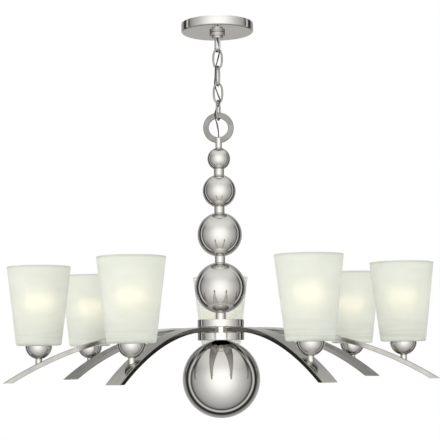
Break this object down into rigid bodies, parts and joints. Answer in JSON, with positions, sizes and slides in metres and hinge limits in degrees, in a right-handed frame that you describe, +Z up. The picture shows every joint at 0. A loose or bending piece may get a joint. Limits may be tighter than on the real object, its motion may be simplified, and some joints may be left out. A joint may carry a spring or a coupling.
{
  "type": "multi arm chandelier",
  "caption": "Hanging chandelier: round canopy, chain, suspension ring, stem of growing balls over a large ball, and curved flat arms with cone glass shades.",
  "frame": {"origin": "centre of the ceiling plane, on the chandelier's vertical axis", "axes": "+Z up, along the stem; a post of the hub, midway between two arms, faces -Y, and one arm points along +Y"},
  "size_m": [0.8982, 0.8757, 0.8483],
  "materials": {
    "polished_nickel": "polished nickel plate, mirror bright and slightly warm",
    "zinc_steel": "zinc plated steel",
    "brass_thread": "plain threaded brass",
    "etched_glass": "acid etched white glass, satin",
    "lamp_glass": "soft white lamp glass, lit",
    "socket_body": "glazed off-white porcelain",
    "cord_jacket": "clear silver lamp cord"
  },
  "bodies": {
    "ceiling_mount": {"mounting_strap": "zinc_steel", "mounting_nipple": "brass_thread"},
    "canopy": {"canopy": "polished_nickel", "collar_ring": "polished_nickel"},
    "loop": {"canopy_loop": "polished_nickel"},
    "link_1": {"chain_link_1": "polished_nickel"},
    "link_2": {"chain_link_2": "polished_nickel"},
    "link_3": {"chain_link_3": "polished_nickel"},
    "link_4": {"chain_link_4": "polished_nickel"},
    "fixture": {"suspension_ring": "polished_nickel", "ring_coupling": "polished_nickel", "center_rod": "zinc_steel", "ball_1": "polished_nickel", "ball_spacer_1": "polished_nickel", "ball_2": "polished_nickel", "ball_spacer_2": "polished_nickel", "ball_3": "polished_nickel", "ball_spacer_3": "polished_nickel", "ball_4": "polished_nickel", "ball_spacer_4": "polished_nickel", "hub_cap": "polished_nickel", "hub_base": "polished_nickel", "lower_ball": "polished_nickel", "rod_nut": "zinc_steel", "supply_cord": "cord_jacket", "arm_1": "polished_nickel", "cup_1": "polished_nickel", "socket_1": "socket_body", "shade_1": "etched_glass", "arm_2": "polished_nickel", "cup_2": "polished_nickel", "socket_2": "socket_body", "shade_2": "etched_glass", "arm_3": "polished_nickel", "cup_3": "polished_nickel", "socket_3": "socket_body", "shade_3": "etched_glass", "arm_4": "polished_nickel", "cup_4": "polished_nickel", "socket_4": "socket_body", "shade_4": "etched_glass", "arm_5": "polished_nickel", "cup_5": "polished_nickel", "socket_5": "socket_body", "shade_5": "etched_glass", "arm_6": "polished_nickel", "cup_6": "polished_nickel", "socket_6": "socket_body", "shade_6": "etched_glass", "arm_7": "polished_nickel", "cup_7": "polished_nickel", "socket_7": "socket_body", "shade_7": "etched_glass"},
    "bulb_1": {"bulb_1": "lamp_glass"},
    "bulb_2": {"bulb_2": "lamp_glass"},
    "bulb_3": {"bulb_3": "lamp_glass"},
    "bulb_4": {"bulb_4": "lamp_glass"},
    "bulb_5": {"bulb_5": "lamp_glass"},
    "bulb_6": {"bulb_6": "lamp_glass"},
    "bulb_7": {"bulb_7": "lamp_glass"}
  },
  "joints": [
    {"name": "canopy_slide", "type": "slide", "parent": "ceiling_mount", "child": "canopy", "axis": [0, 0, -1], "range_m": [0, 0.018]},
    {"name": "loop_turn", "type": "hinge", "parent": "ceiling_mount", "child": "loop", "pos_m": [0, 0, -0.0115], "axis": [0, 0, 1], "range_deg": [-90, 90], "deforming": ["supply_cord"]},
    {"name": "chain_swing_1", "type": "hinge", "parent": "loop", "child": "link_1", "pos_m": [0, 0, -0.0613], "axis": [-0.4695, 0.8829, 0], "range_deg": [-20, 20], "deforming": ["supply_cord"]},
    {"name": "chain_swing_2", "type": "hinge", "parent": "link_1", "child": "link_2", "pos_m": [0, 0, -0.0988], "axis": [1, 0, 0], "range_deg": [-20, 20], "deforming": ["supply_cord"]},
    {"name": "chain_swing_3", "type": "hinge", "parent": "link_2", "child": "link_3", "pos_m": [0, 0, -0.1363], "axis": [-0.342, 0.9397, 0], "range_deg": [-20, 20], "deforming": ["supply_cord"]},
    {"name": "chain_swing_4", "type": "hinge", "parent": "link_3", "child": "link_4", "pos_m": [0, 0, -0.1738], "axis": [1, 0, 0], "range_deg": [-20, 20], "deforming": ["supply_cord"]},
    {"name": "fixture_swing", "type": "hinge", "parent": "link_4", "child": "fixture", "pos_m": [0, 0, -0.2113], "axis": [0, 1, 0], "range_deg": [-20, 20], "deforming": ["supply_cord"]},
    {"name": "bulb_1_turn", "type": "hinge", "parent": "fixture", "child": "bulb_1", "pos_m": [0.16704, -0.34687, -0.677], "axis": [0, 0, 1], "continuous": true},
    {"name": "bulb_2_turn", "type": "hinge", "parent": "fixture", "child": "bulb_2", "pos_m": [0.37535, -0.08567, -0.677], "axis": [0, 0, 1], "continuous": true},
    {"name": "bulb_3_turn", "type": "hinge", "parent": "fixture", "child": "bulb_3", "pos_m": [0.30101, 0.24004, -0.677], "axis": [0, 0, 1], "continuous": true},
    {"name": "bulb_4_turn", "type": "hinge", "parent": "fixture", "child": "bulb_4", "pos_m": [0, 0.385, -0.677], "axis": [0, 0, 1], "continuous": true},
    {"name": "bulb_5_turn", "type": "hinge", "parent": "fixture", "child": "bulb_5", "pos_m": [-0.30101, 0.24004, -0.677], "axis": [0, 0, 1], "continuous": true},
    {"name": "bulb_6_turn", "type": "hinge", "parent": "fixture", "child": "bulb_6", "pos_m": [-0.37535, -0.08567, -0.677], "axis": [0, 0, 1], "continuous": true},
    {"name": "bulb_7_turn", "type": "hinge", "parent": "fixture", "child": "bulb_7", "pos_m": [-0.16704, -0.34687, -0.677], "axis": [0, 0, 1], "continuous": true}
  ]
}
